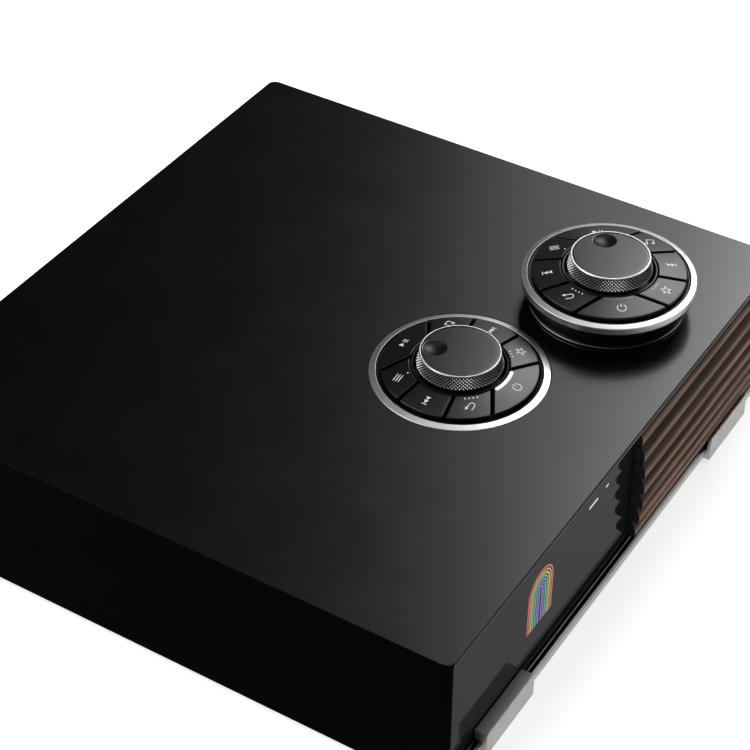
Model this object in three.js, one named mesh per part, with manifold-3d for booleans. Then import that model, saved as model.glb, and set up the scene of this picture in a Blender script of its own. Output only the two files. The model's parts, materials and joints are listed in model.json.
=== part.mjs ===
// Compact music console with a round controller in its top and a matching cordless remote.
//
// Frame: millimetres, +X to the right along the front, +Y from front to back, +Z up.
// Origin: on the surface the console stands on, under the middle of its case.
//
// The case is a wrap-around top cover over a bottom plate, a rear panel set back under the
// cover, and a front of two halves: a dark display window on the left and a grille of seven
// wooden slats on the right, with a metal lip below. It stands on two metal runners.
// The controller is a metal ring around eight keys and a push-and-turn knob. The remote is a
// round puck with the same controller on top, and it stands on the cover beside the first one.

import * as THREE from 'three';
import { mergeVertices } from 'three/addons/utils/BufferGeometryUtils.js';
import Module from 'manifold-3d';

const wasm = await Module();
wasm.setup();

// ---- driving dimensions -------------------------------------------------------------------

const gap = 0.3;                  // clearance between neighbouring solids

const caseWidth = 310;
const caseDepth = 291;
const bodyHeight = 75;            // case alone, from the bottom plate to the top face
const standHeight = 3;            // clear space under the case, made by the runners
const topZ = standHeight + bodyHeight;
const frontY = -caseDepth / 2;
const backY = caseDepth / 2;

const wall = 3;                   // side walls of the cover
const topThickness = 3.2;
const cornerRadius = 4;
const edgeGrooveTop = 0.7;        // shadow groove along the front edge of the top
const edgeGrooveHeight = 0.7;
const edgeGrooveDepth = 1.2;
const innerHalfWidth = caseWidth / 2 - wall - gap;
const innerTopZ = topZ - topThickness - gap;

const windowSetback = 3.6;        // display window behind the front edge of the top
const windowThickness = 2;
const windowBottomZ = standHeight + 2.3;
const grilleLeftX = 10.3;
const slatCount = 7;
const slatPitch = 9;
const firstSlatZ = topZ - 3.8;
const slatRise = 2.1;             // how far a slat's front stands out of its groove
const slatSlopeHeight = 4.6;
const slatFlatHeight = 3.4;
const slatReturnHeight = 0.7;
const slatBulge = 3.35;           // the barrel curve of the grille
const slatBulgeCentre = 3.3;
const slatBulgeFall = 0.3076;

const lipForward = 1;
const lipDepth = 10;
const lipTopZ = topZ - 70.9;
const lipStrip = 1.6;             // flat top of the lip, in front of its groove
const lipGroove = 1.8;
const lipGrooveDepth = 2.5;
const lipRidge = 0.5;
const bottomThickness = 2;
const rearSetback = 14;           // rear panel in from the back edge of the cover
const rearThickness = 2.5;

const footInnerX = 87;
const footWidth = 40;
const footForward = 3.3;          // runner ends stand this far past the case
const footHeadHeight = 12.7;
const footHeadThickness = 1.9;

const dialRadius = 40.6;
const dialY = frontY + 86.2;
const dialFloorDepth = 3.5;       // floor of the controller below its ring

const remoteX = 79.8;
const remoteY = dialY - 32.1;
const remoteTurn = -52;           // degrees, seen from above
const remoteRadius = 40.2;
const remoteHeight = 15;          // from the cover to the outer edge of the remote's ring

const grey = 0x3a3a3c;
const black = 0x0c0c0d;
const aluminium = 0xb9babc;
const walnut = 0x6b5a4e;
const greenBoard = 0x17452c;

// ---- geometry helpers ---------------------------------------------------------------------

// A three.js geometry as a manifold solid, with its shared corners merged.
function toSolid(geometry) {
  const bare = (geometry.index ? geometry.toNonIndexed() : geometry.clone());
  bare.deleteAttribute('normal');
  bare.deleteAttribute('uv');
  const merged = mergeVertices(bare, 1e-4);
  return new wasm.Manifold(new wasm.Mesh({
    numProp: 3,
    vertProperties: new Float32Array(merged.attributes.position.array),
    triVerts: new Uint32Array(merged.index.array),
  }));
}

function toGeometry(solid) {
  const mesh = solid.getMesh();
  const geometry = new THREE.BufferGeometry();
  geometry.setAttribute('position', new THREE.BufferAttribute(mesh.vertProperties, mesh.numProp));
  geometry.setIndex(new THREE.BufferAttribute(mesh.triVerts, 1));
  return geometry;
}

function join(...geometries) {
  return toGeometry(geometries.map(toSolid).reduce((whole, piece) => whole.add(piece)));
}

function cut(geometry, ...cutters) {
  return toGeometry(cutters.map(toSolid).reduce((rest, cutter) => rest.subtract(cutter), toSolid(geometry)));
}

// A box between two opposite corners.
function box([x0, y0, z0], [x1, y1, z1]) {
  const geometry = new THREE.BoxGeometry(x1 - x0, y1 - y0, z1 - z0);
  return geometry.translate((x0 + x1) / 2, (y0 + y1) / 2, (z0 + z1) / 2);
}

// An outline in the XY plane, raised from z0 to z1.
function prism(shape, z0, z1, curveSegments = 12) {
  const geometry = new THREE.ExtrudeGeometry(shape, { depth: z1 - z0, bevelEnabled: false, curveSegments });
  return geometry.translate(0, 0, z0);
}

// A profile of (y, z) points run along X from x0 to x1.
function bar(profile, x0, x1) {
  const shape = new THREE.Shape(profile.map(([y, z]) => new THREE.Vector2(y, z)));
  const geometry = new THREE.ExtrudeGeometry(shape, { depth: x1 - x0, bevelEnabled: false });
  const yzToWorld = new THREE.Matrix4().makeBasis(
    new THREE.Vector3(0, 1, 0), new THREE.Vector3(0, 0, 1), new THREE.Vector3(1, 0, 0));
  return geometry.applyMatrix4(yzToWorld).translate(x0, 0, 0);
}

// A plate in the XZ plane between y0 and y1, with its outline and holes given as (x, z).
function panel(shape, y0, y1, curveSegments = 12) {
  const geometry = new THREE.ExtrudeGeometry(shape, { depth: y1 - y0, bevelEnabled: false, curveSegments });
  return geometry.rotateX(Math.PI / 2).translate(0, y1, 0);
}

// A profile of (radius, z) points turned about the Z axis.
function turned(profile, segments = 48) {
  const geometry = new THREE.LatheGeometry(profile.map(([r, z]) => new THREE.Vector2(r, z)), segments);
  return geometry.rotateX(Math.PI / 2);
}

// A round bar along Y between y0 and y1.
function rod(radius, y0, y1, x, z, segments = 24) {
  return new THREE.CylinderGeometry(radius, radius, y1 - y0, segments).translate(x, (y0 + y1) / 2, z);
}

// A rectangle in the XZ plane about its centre, grown by a margin on every side.
function rectangle({ x, z, width, height }, margin = 0) {
  const halfWidth = width / 2 + margin;
  const halfHeight = height / 2 + margin;
  return { x0: x - halfWidth, z0: z - halfHeight, x1: x + halfWidth, z1: z + halfHeight };
}

// A rectangular plate between y0 and y1, with rectangular windows cut right through it.
function plate(outline, y0, y1, windows = []) {
  const slab = ({ x0, z0, x1, z1 }, before, after) => box([x0, before, z0], [x1, after, z1]);
  const cutters = windows.map((window) => slab(window, y0 - 1, y1 + 1));
  return cutters.length ? cut(slab(outline, y0, y1), ...cutters) : slab(outline, y0, y1);
}

function roundedRectangle(width, depth, radius) {
  const x = width / 2;
  const y = depth / 2;
  const shape = new THREE.Shape();
  shape.absarc(x - radius, y - radius, radius, 0, Math.PI / 2);
  shape.absarc(-x + radius, y - radius, radius, Math.PI / 2, Math.PI);
  shape.absarc(-x + radius, -y + radius, radius, Math.PI, Math.PI * 3 / 2);
  shape.absarc(x - radius, -y + radius, radius, Math.PI * 3 / 2, Math.PI * 2);
  shape.closePath();
  return shape;
}

const console_ = new THREE.Group();

function add(parent, name, geometry, color, roughness = 0.5, metalness = 0) {
  const mesh = new THREE.Mesh(geometry, new THREE.MeshStandardMaterial({ color, roughness, metalness }));
  mesh.name = name;
  parent.add(mesh);
  return mesh;
}

// ---- case ---------------------------------------------------------------------------------

function topCover() {
  const beyond = 10;
  const block = prism(roundedRectangle(caseWidth, caseDepth, cornerRadius), standHeight, topZ, 6);
  const hollow = box(
    [-caseWidth / 2 + wall, frontY - beyond, -beyond],
    [caseWidth / 2 - wall, backY + beyond, topZ - topThickness]);
  const grooveZ = topZ - edgeGrooveTop;
  const groove = box(
    [-caseWidth, frontY - beyond, grooveZ - edgeGrooveHeight],
    [caseWidth, frontY + edgeGrooveDepth, grooveZ]);
  const dialHole = new THREE.CylinderGeometry(dialRadius + gap, dialRadius + gap, beyond * 2, 72)
    .rotateX(Math.PI / 2).translate(0, dialY, topZ);
  return cut(block, hollow, groove, dialHole);
}

const bottomFrontY = frontY - lipForward + lipDepth + gap;
const rearOuterY = backY - rearSetback;
const rearInnerY = rearOuterY - rearThickness;

function bottomPlate() {
  return box(
    [-innerHalfWidth, bottomFrontY, standHeight],
    [innerHalfWidth, rearOuterY, standHeight + bottomThickness]);
}

// The lip is a bar with a groove along its top, in front of the window; its back runs under the window.
function frontLip() {
  const y0 = frontY - lipForward;
  const y1 = y0 + lipDepth;
  const grooveY = y0 + lipStrip;
  const ridgeY = grooveY + lipGroove;
  const ease = 0.4;
  const profile = [
    [y0, standHeight], [y1, standHeight], [y1, windowBottomZ - gap], [ridgeY + lipRidge, windowBottomZ - gap],
    [ridgeY + lipRidge, lipTopZ], [ridgeY, lipTopZ], [ridgeY, lipTopZ - lipGrooveDepth],
    [grooveY, lipTopZ - lipGrooveDepth], [grooveY, lipTopZ], [y0 + ease, lipTopZ], [y0, lipTopZ - ease],
  ];
  return bar(profile, -innerHalfWidth, innerHalfWidth);
}

// A runner lies under the case from front to back and turns up in front of the lip.
// ledgeDepth fills the room between the turned-up head and a front that is set back above the lip.
function runnerFoot(x0, x1, ledgeDepth) {
  const y0 = frontY - footForward;
  const y1 = backY + footForward;
  const headBackY = y0 + footHeadThickness;
  const ledgeBackY = headBackY + ledgeDepth;
  const barTopZ = standHeight - gap;
  const profile = [
    [y0, 0], [y1, 0], [y1, barTopZ], [headBackY, barTopZ], [headBackY, footHeadHeight], [y0, footHeadHeight],
  ];
  const runner = bar(profile, x0, x1);
  const ledge = box([x0, headBackY - 1, lipTopZ + gap], [x1, ledgeBackY, footHeadHeight]);
  return ledgeDepth > 0 ? join(runner, ledge) : runner;
}

add(console_, 'top_cover', topCover(), 0x2c2c2e, 0.45);
add(console_, 'bottom_plate', bottomPlate(), 0x1b1b1c, 0.6, 0.4);
add(console_, 'front_lip', frontLip(), aluminium, 0.35, 0.9);
const windowLedge = windowSetback + footForward - footHeadThickness - gap;
add(console_, 'runner_foot_right', runnerFoot(footInnerX, footInnerX + footWidth, 0), aluminium, 0.4, 0.8);
const leftFoot = runnerFoot(-footInnerX - footWidth, -footInnerX, windowLedge);
add(console_, 'runner_foot_left', leftFoot, aluminium, 0.4, 0.8);

// ---- front --------------------------------------------------------------------------------

const windowFrontY = frontY + windowSetback;
const windowBackY = windowFrontY + windowThickness;
const displayDepth = 4;
const frameY = windowBackY + displayDepth + 2 * gap;
const frameThickness = 2.5;

// One slat, numbered from 0 at the top: a sloping upper face, a flat front and a short return.
function slat(index) {
  const forward = slatBulge - slatBulgeFall * (index - slatBulgeCentre) ** 2;
  const noseY = frontY - forward;
  const grooveY = noseY + slatRise;
  const slatTopZ = firstSlatZ - index * slatPitch;
  const flatTopZ = slatTopZ - slatSlopeHeight;
  const flatBottomZ = flatTopZ - slatFlatHeight;
  const slatBottomZ = flatBottomZ - slatReturnHeight;
  const ease = 0.25;
  const profile = [
    [windowFrontY, slatTopZ], [windowFrontY, slatBottomZ], [grooveY, slatBottomZ],
    [noseY, flatBottomZ], [noseY, flatTopZ + ease], [noseY + ease, flatTopZ + 2 * ease],
    [grooveY, slatTopZ],
  ];
  return bar(profile.reverse(), grilleLeftX, innerHalfWidth);
}

// A panel behind the slats, with slots that let the case breathe.
function grilleBack() {
  const slots = 5;
  const outline = { x0: grilleLeftX, z0: windowBottomZ, x1: innerHalfWidth, z1: innerTopZ };
  const pitch = (innerHalfWidth - grilleLeftX) / slots;
  const windows = [];
  for (let i = 0; i < slots; i += 1) {
    const x = grilleLeftX + pitch * (i + 0.5);
    windows.push(rectangle({ x, z: topZ - 40, width: pitch * 0.64, height: 8 }));
  }
  return plate(outline, windowFrontY + gap, windowBackY, windows);
}

// An inner frame that carries the window, the display and the grille.
function frontFrame() {
  const outline = { x0: -innerHalfWidth, z0: windowBottomZ, x1: innerHalfWidth, z1: innerTopZ };
  return plate(outline, frameY, frameY + frameThickness, [
    rectangle({ x: -56, z: topZ - 38, width: 88, height: 36 }),
    rectangle({ x: 80, z: topZ - 38, width: 120, height: 36 }),
  ]);
}

for (let i = 0; i < slatCount; i += 1) {
  add(console_, `slat_${i + 1}`, slat(i), walnut, 0.6);
}
add(console_, 'grille_back', grilleBack(), black, 0.8);
add(console_, 'front_frame', frontFrame(), black, 0.7);
add(console_, 'display_glass', box(
  [-innerHalfWidth, windowFrontY, windowBottomZ],
  [grilleLeftX - gap, windowBackY, innerTopZ]), 0x101012, 0.05);
add(console_, 'display_panel', box(
  [-112, windowBackY + gap, topZ - 62],
  [-4, windowBackY + gap + displayDepth, topZ - 13]), 0x1c2430, 0.3);

// ---- rear ---------------------------------------------------------------------------------

const socketFaceY = rearOuterY + 1.5;    // socket bodies stand a little proud of the panel

const inlet = { x: -122, z: 26, width: 30, height: 24, holeWidth: 24, holeHeight: 16.5, holeDepth: 16 };
const terminals = { x: -72, z: 26, width: 60, height: 20, pitch: 14 };
const lineIn = { x: 22, z: 34, width: 52, height: 34, pitchX: 17, pitchZ: 17 };
const ports = { x: 102, z: 34, width: 76, height: 30 };
const capRadius = 5.2;
const capLength = 11;
const studRadius = 2.6;

function rearPanel() {
  const outline = {
    x0: -innerHalfWidth, z0: standHeight + bottomThickness + gap, x1: innerHalfWidth, z1: innerTopZ,
  };
  const windows = [inlet, terminals, lineIn, ports].map((block) => rectangle(block, gap));
  return plate(outline, rearInnerY, rearOuterY, windows);
}

// A socket block: rectangular pockets of one depth, open to the back.
function socketBlock(block, sockets, depth, backing) {
  const pockets = sockets.map((socket) => {
    const { x0, z0, x1, z1 } = rectangle(socket);
    return box([x0, socketFaceY - depth, z0], [x1, socketFaceY + 1, z1]);
  });
  return cut(plate(rectangle(block), socketFaceY - depth - backing, socketFaceY), ...pockets);
}

function mainsInlet() {
  const socket = { ...inlet, width: inlet.holeWidth, height: inlet.holeHeight };
  return socketBlock(inlet, [socket], inlet.holeDepth, 4);
}

const terminalXs = [-1.5, -0.5, 0.5, 1.5].map((step) => terminals.x + step * terminals.pitch);
const collarEndY = socketFaceY + 2;

// Speaker terminal block: a plate with four threaded studs, each in a short collar.
function speakerTerminals() {
  const base = plate(rectangle(terminals), rearInnerY - 6, socketFaceY);
  const studs = terminalXs.flatMap((x) => [
    rod(studRadius, socketFaceY - 2, collarEndY + 9, x, terminals.z, 16),
    rod(capRadius - 0.4, socketFaceY - 1, collarEndY, x, terminals.z, 24),
  ]);
  return join(base, ...studs);
}

// A terminal cap turns on its stud; its outer end is closed.
function terminalCap(x) {
  const y0 = collarEndY + gap;
  const y1 = y0 + capLength;
  const bore = rod(studRadius + gap, y0 - 5, y1 - 1.5, x, terminals.z, 16);
  return cut(rod(capRadius, y0, y1, x, terminals.z, 24), bore);
}

// Line sockets: six round sockets in two rows on one block.
function lineSockets() {
  const barrelRadius = 4.2;
  const boreRadius = 1.7;
  const barrels = [];
  const bores = [];
  for (const column of [-1, 0, 1]) {
    for (const row of [-0.5, 0.5]) {
      const x = lineIn.x + column * lineIn.pitchX;
      const z = lineIn.z + row * lineIn.pitchZ;
      barrels.push(rod(barrelRadius, socketFaceY - 1, socketFaceY + 8, x, z, 20));
      bores.push(rod(boreRadius, socketFaceY - 1, socketFaceY + 10, x, z, 10));
    }
  }
  return cut(join(plate(rectangle(lineIn), rearInnerY - 8, socketFaceY), ...barrels), ...bores);
}

// Digital sockets, each a rectangular pocket, and a threaded aerial socket at the end.
const digitalSockets = [
  { x: 74, z: 41, width: 15.2, height: 5.6 },
  { x: 74, z: 27, width: 13.2, height: 5.8 },
  { x: 95, z: 34, width: 12, height: 9 },
  { x: 112, z: 34, width: 9.5, height: 9.5 },
];
const pocketDepth = 11;

function digitalPorts() {
  const aerialX = 130;
  return join(
    socketBlock(ports, digitalSockets, pocketDepth, 3),
    rod(4.7, socketFaceY - 1, socketFaceY + 8, aerialX, ports.z, 20));
}

add(console_, 'rear_panel', rearPanel(), 0x161617, 0.6);
add(console_, 'mains_inlet', mainsInlet(), 0x111112, 0.5);
add(console_, 'speaker_terminals', speakerTerminals(), 0x222224, 0.4);
terminalXs.forEach((x, i) => {
  add(console_, `terminal_cap_${i + 1}`, terminalCap(x), i % 2 ? 0x8f1414 : black, 0.4);
});
add(console_, 'line_sockets', lineSockets(), 0x9c9c9e, 0.4, 0.6);
add(console_, 'digital_ports', digitalPorts(), 0x1d1d1f, 0.5);

// ---- inside the case ----------------------------------------------------------------------

const boardZ = 12;
const boardThickness = 1.6;

// A circuit board with blocks standing on it; each block is [x0, y0, x1, y1, height].
function populatedBoard(x0, y0, x1, y1, blocks) {
  const bite = 0.2;
  const boardTopZ = boardZ + boardThickness;
  const standing = blocks.map(([bx0, by0, bx1, by1, height]) => box(
    [bx0, by0, boardTopZ - bite], [bx1, by1, boardTopZ + height]));
  return join(box([x0, y0, boardZ], [x1, y1, boardTopZ]), ...standing);
}

const mainBoard = populatedBoard(0, -40, 140, 105, [
  [20, 20, 44, 44, 3], [60, 30, 92, 62, 5], [100, -20, 130, 10, 4], [20, -25, 60, 0, 12],
  [70, 70, 120, 90, 8],
]);
const powerSupply = populatedBoard(-140, -5, -12, 105, [
  [-130, 40, -95, 80, 30], [-85, 30, -65, 50, 34], [-85, 58, -65, 78, 34], [-55, 40, -20, 75, 26],
  [-130, 5, -90, 25, 16],
]);

// Heat sink: a base plate with upright fins, run from front to back.
function heatSink() {
  const x0 = -140;
  const x1 = -14;
  const fins = 12;
  const finThickness = 2;
  const baseZ = boardZ;
  const baseTopZ = baseZ + 6;
  const finTopZ = baseZ + 36;
  const pitch = (x1 - x0 - finThickness) / (fins - 1);
  const shape = new THREE.Shape();
  shape.moveTo(x0, baseZ);
  shape.lineTo(x1, baseZ);
  for (let i = fins - 1; i >= 0; i -= 1) {
    const left = x0 + i * pitch;
    shape.lineTo(left + finThickness, i === fins - 1 ? baseZ : baseTopZ);
    shape.lineTo(left + finThickness, finTopZ);
    shape.lineTo(left, finTopZ);
    shape.lineTo(left, i === 0 ? baseZ : baseTopZ);
  }
  return panel(shape, -100, -15);
}

add(console_, 'main_board', mainBoard, greenBoard, 0.6);
add(console_, 'power_supply', powerSupply, 0x8a6a2f, 0.6);
add(console_, 'heat_sink', heatSink(), 0x8f9092, 0.5, 0.8);

// ---- controller ---------------------------------------------------------------------------
// Heights here are measured from the plane of the ring's outer edge; the controller's own
// group places it in the cover or on the remote.

const ringInnerRadius = 37.4;
const ringCrown = 0.74;           // the ring rises this much towards its inner edge
const linerRadius = 36.8;         // a thin upstand between the ring and the keys
const linerThickness = 0.7;
const linerTop = 0.3;
const keyInnerRadius = 22.3;
const keyOuterRadius = 35.5;
const keyInnerTop = 4.4;          // the keys slope down from the knob to the ring
const keyOuterTop = 2.4;
const keyBottom = -1.2;
const keySlit = 1.4;
const collarRadius = 21.9;        // a thin collar stands between the knob and the keys
const collarThickness = 1;
const collarTop = 4.3;

const knobBaseRadius = 19.6;
const knobRimRadius = 18.4;
const knobHeight = 11.4;
const knobBase = 4.9;
const capDiscRadius = 17.4;
const capDiscThickness = 1.9;
const dimpleRadius = 5.7;
const dimpleDepth = 1.4;
const dimpleOffset = 11.4;
const shaftRadius = 3;
const pushCollarRadius = 7;       // sprung collar that carries the shaft
const pushCollarTop = -6.9;
const pushCollarThickness = 1.6;
const encoderTop = -10.3;
const wellHoleRadius = 4;

// Slits between keys, as the x and y of their inner and outer ends in units of the dial radius.
// They lie in one quarter and are mirrored into the others.
const steepSlit = [[0.225, 0.535], [0.503, 0.692]];
const flatSlit = [[0.53, 0.225], [0.8, 0.275]];

function mirrored(slit, signX, signY) {
  return slit.map(([x, y]) => new THREE.Vector2(x * signX * dialRadius, y * signY * dialRadius));
}

// Where a slit's edge, moved sideways by shift, crosses a circle about the origin.
function crossing([inner, outer], shift, radius) {
  const along = outer.clone().sub(inner).normalize();
  const side = new THREE.Vector2(-along.y, along.x);
  const start = inner.clone().addScaledVector(side, shift);
  const middle = start.dot(along);
  const reach = -middle + Math.sqrt(middle ** 2 - start.lengthSq() + radius ** 2);
  return start.addScaledVector(along, reach);
}

// A key between two slits, the first met before the second going anticlockwise.
function keyOutline(first, second) {
  const half = keySlit / 2;
  const angle = (slit, shift, radius) => crossing(slit, shift, radius).angle();
  const start = angle(first, half, keyOuterRadius);
  const end = angle(second, -half, keyOuterRadius);
  const innerEnd = angle(second, -half, keyInnerRadius);
  const innerStart = angle(first, half, keyInnerRadius);
  const shape = new THREE.Shape();
  shape.absarc(0, 0, keyOuterRadius, start, end, false);
  shape.absarc(0, 0, keyInnerRadius, innerEnd, innerStart, true);
  shape.closePath();
  return shape;
}

// A key is a piece of the sloping ring of keys, cut out along its outline.
function key(first, second) {
  const slope = (keyInnerTop - keyOuterTop) / (keyOuterRadius - keyInnerRadius);
  const margin = 1;
  const ridge = keyInnerTop + slope * margin;
  const foot = keyOuterTop - slope * margin;
  const slopingRing = turned([
    [keyInnerRadius - margin, keyBottom], [keyOuterRadius + margin, keyBottom],
    [keyOuterRadius + margin, foot], [keyInnerRadius - margin, ridge],
    [keyInnerRadius - margin, keyBottom],
  ], 64);
  const column = prism(keyOutline(first, second), keyBottom - margin, ridge + margin, 8);
  return toGeometry(toSolid(column).intersect(toSolid(slopingRing)));
}

// Slits in order, anticlockwise from the one to the right of the power key at the front.
const slits = [
  mirrored(steepSlit, 1, -1), mirrored(flatSlit, 1, -1),
  mirrored(flatSlit, 1, 1), mirrored(steepSlit, 1, 1),
  mirrored(steepSlit, -1, 1), mirrored(flatSlit, -1, 1),
  mirrored(flatSlit, -1, -1), mirrored(steepSlit, -1, -1),
];
const keyNames = ['star', 'next', 'source', 'play', 'menu', 'previous', 'back', 'power'];

function controllerRing(outerRadius) {
  const innerRadius = ringInnerRadius;
  const ease = 0.2;
  return turned([
    [innerRadius, -dialFloorDepth + gap], [outerRadius, -dialFloorDepth + gap], [outerRadius, -ease],
    [outerRadius - ease, 0], [innerRadius + ease, ringCrown], [innerRadius, ringCrown - ease],
    [innerRadius, -dialFloorDepth + gap],
  ], 64);
}

function knobSkirt() {
  const webTop = knobHeight - capDiscThickness - 2 * gap;
  const webThickness = 1.5;
  const inner = knobRimRadius - 2.2;
  return turned([
    [shaftRadius + gap, webTop - webThickness], [inner, webTop - webThickness], [inner + 1, knobBase],
    [knobBaseRadius, knobBase], [knobRimRadius - 0.3, knobHeight - 0.5],
    [knobRimRadius, knobHeight], [capDiscRadius + gap, knobHeight], [capDiscRadius + gap, webTop],
    [shaftRadius + gap, webTop], [shaftRadius + gap, webTop - webThickness],
  ], 44);
}

// The cap is a flat disc with a round finger dimple near its edge.
function knobCap(dimpleAngle) {
  const top = knobHeight - 0.1;
  const disc = turned([[0, top - capDiscThickness], [capDiscRadius, top - capDiscThickness],
    [capDiscRadius, top], [0, top]]);
  const ballRadius = (dimpleRadius ** 2 + dimpleDepth ** 2) / (2 * dimpleDepth);
  const angle = THREE.MathUtils.degToRad(dimpleAngle);
  const ball = new THREE.SphereGeometry(ballRadius, 32, 32).rotateX(Math.PI / 2).translate(
    dimpleOffset * Math.cos(angle), dimpleOffset * Math.sin(angle), top - dimpleDepth + ballRadius);
  return cut(disc, ball);
}

function addController(prefix, x, y, z, turn, outerRadius, dimpleAngle) {
  const group = new THREE.Group();
  group.position.set(x, y, z);
  group.rotation.z = THREE.MathUtils.degToRad(turn);
  console_.add(group);

  add(group, `${prefix}_ring`, controllerRing(outerRadius), aluminium, 0.3, 0.95);
  keyNames.forEach((name, i) => {
    add(group, `${prefix}_key_${name}`, key(slits[i], slits[(i + 1) % slits.length]), grey, 0.55);
  });
  add(group, `${prefix}_knob_skirt`, knobSkirt(), 0x4a4a4c, 0.4, 0.6);
  add(group, `${prefix}_knob_cap`, knobCap(dimpleAngle - turn), 0x333335, 0.45);

  const shaftTop = knobHeight - capDiscThickness - 2 * gap;
  const shaftBottom = pushCollarTop - pushCollarThickness;
  const boreRadius = shaftRadius + gap;
  add(group, `${prefix}_shaft`, turned([
    [0, shaftBottom], [shaftRadius, shaftBottom], [shaftRadius, shaftTop], [0, shaftTop],
  ], 24), 0x9a9a9c, 0.3, 0.9);
  add(group, `${prefix}_push_collar`, turned([
    [boreRadius, shaftBottom], [pushCollarRadius, shaftBottom], [pushCollarRadius, pushCollarTop],
    [boreRadius, pushCollarTop], [boreRadius, shaftBottom],
  ], 24), 0x6a6a6c, 0.4, 0.7);
  return group;
}

// The upper side of a controller's floor, from its rim inwards: liner, floor, collar, floor.
function wellFloor(rimRadius, floor) {
  const linerInner = linerRadius - linerThickness;
  const collarInner = collarRadius - collarThickness;
  return [
    [rimRadius, floor],
    [linerRadius, floor], [linerRadius, linerTop], [linerInner, linerTop], [linerInner, floor],
    [collarRadius, floor], [collarRadius, collarTop], [collarInner, collarTop], [collarInner, floor],
    [wellHoleRadius, floor],
  ];
}

const dial = addController('dial', 0, dialY, topZ, 0, dialRadius, 110.6);
const remote = addController(
  'remote', remoteX, remoteY, topZ + remoteHeight, remoteTurn, remoteRadius, 41.3);

// The console's controller stands on a round tray fixed under the cover.
const trayRadius = 46;
const trayBottom = -dialFloorDepth - 3;
add(dial, 'dial_tray', turned([
  [wellHoleRadius, trayBottom], [trayRadius, trayBottom], ...wellFloor(trayRadius, -dialFloorDepth),
  [wellHoleRadius, trayBottom],
], 64), black, 0.7);
add(dial, 'dial_encoder', box([-9, -9, encoderTop - 6], [9, 9, encoderTop]), 0x55575a, 0.5, 0.5);

// ---- remote body --------------------------------------------------------------------------

const remoteBaseRadius = 36.4;
const remoteLift = gap - remoteHeight;        // underside of the remote, in its own group
const remoteBottomThickness = 0.8;
const shellBottom = remoteLift + remoteBottomThickness + gap;

// A shallow bowl with the controller's floor inside its rim, open underneath.
function remoteShell() {
  const floor = -dialFloorDepth - gap;
  const floorBottom = floor - 1.6;
  const wallThickness = 2.2;
  const rimRadius = remoteRadius - gap;
  const footRadius = remoteBaseRadius - gap;
  const outline = new THREE.QuadraticBezierCurve(
    new THREE.Vector2(footRadius, shellBottom),
    new THREE.Vector2(remoteRadius - 1.2, shellBottom + 5),
    new THREE.Vector2(rimRadius, floor));
  return turned([
    ...outline.getPoints(4).slice(0, -1).map((point) => [point.x, point.y]),
    ...wellFloor(rimRadius, floor), [wellHoleRadius, floorBottom],
    [rimRadius - wallThickness, floorBottom], [footRadius - wallThickness, shellBottom],
    [footRadius, shellBottom],
  ], 64);
}

// The underside: a soft foot disc under a thin metal rim that shows as a line.
function remoteBottom() {
  const discRadius = 34;
  const top = remoteLift + remoteBottomThickness;
  const rim = 0.4;
  return turned([
    [0, remoteLift], [discRadius, remoteLift], [discRadius + rim, top - rim], [remoteBaseRadius, top - rim],
    [remoteBaseRadius, top], [0, top],
  ], 64);
}

add(remote, 'remote_shell', remoteShell(), 0x151516, 0.35);
add(remote, 'remote_bottom', remoteBottom(), 0x1a1a1b, 0.8);

// The remote's circuit board, with the body of its rotary encoder standing on it.
const remoteBoardBottom = shellBottom + 0.4;
const remoteBoardTop = remoteBoardBottom + 1;
add(remote, 'remote_board', join(
  box([-24, -20, remoteBoardBottom], [9, 20, remoteBoardTop]),
  box([-7, -7, remoteBoardTop - 0.2], [7, 7, encoderTop])), greenBoard, 0.6);
add(remote, 'remote_battery', box(
  [12, -15, remoteBoardBottom], [29, 15, remoteBoardBottom + 5]), 0x355f8a, 0.5);

export default console_;
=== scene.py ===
"""Looks for the compact music console and its puck remote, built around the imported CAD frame.

Everything is in metres in the frame's own axes: +X right along the front, +Y to the back, +Z up.
"""

import json
import math

import bmesh
import bpy
from mathutils import Matrix, Vector


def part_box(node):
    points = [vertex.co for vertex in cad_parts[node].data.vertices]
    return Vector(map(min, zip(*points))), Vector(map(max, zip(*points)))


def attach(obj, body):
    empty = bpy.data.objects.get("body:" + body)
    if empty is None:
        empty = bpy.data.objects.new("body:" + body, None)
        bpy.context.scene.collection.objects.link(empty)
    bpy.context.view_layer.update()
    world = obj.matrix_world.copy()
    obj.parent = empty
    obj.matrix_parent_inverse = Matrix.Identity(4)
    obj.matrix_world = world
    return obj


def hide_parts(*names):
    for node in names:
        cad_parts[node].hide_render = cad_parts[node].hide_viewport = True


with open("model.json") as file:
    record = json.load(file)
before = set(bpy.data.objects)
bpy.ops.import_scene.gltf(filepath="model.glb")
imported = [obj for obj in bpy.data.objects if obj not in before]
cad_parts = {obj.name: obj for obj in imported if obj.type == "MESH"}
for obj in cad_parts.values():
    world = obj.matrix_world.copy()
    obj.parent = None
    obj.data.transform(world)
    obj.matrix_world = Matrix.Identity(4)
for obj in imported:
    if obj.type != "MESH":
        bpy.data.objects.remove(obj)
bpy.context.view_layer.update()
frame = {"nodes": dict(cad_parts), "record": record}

MM = 0.001
NODES = frame["nodes"]
TAU = 2 * math.pi

# ---- places taken from the frame ----


def middle(low, high, z):
    """The middle of a box seen from above, at height z."""
    return Vector(((low.x + high.x) / 2, (low.y + high.y) / 2, z))


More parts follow.
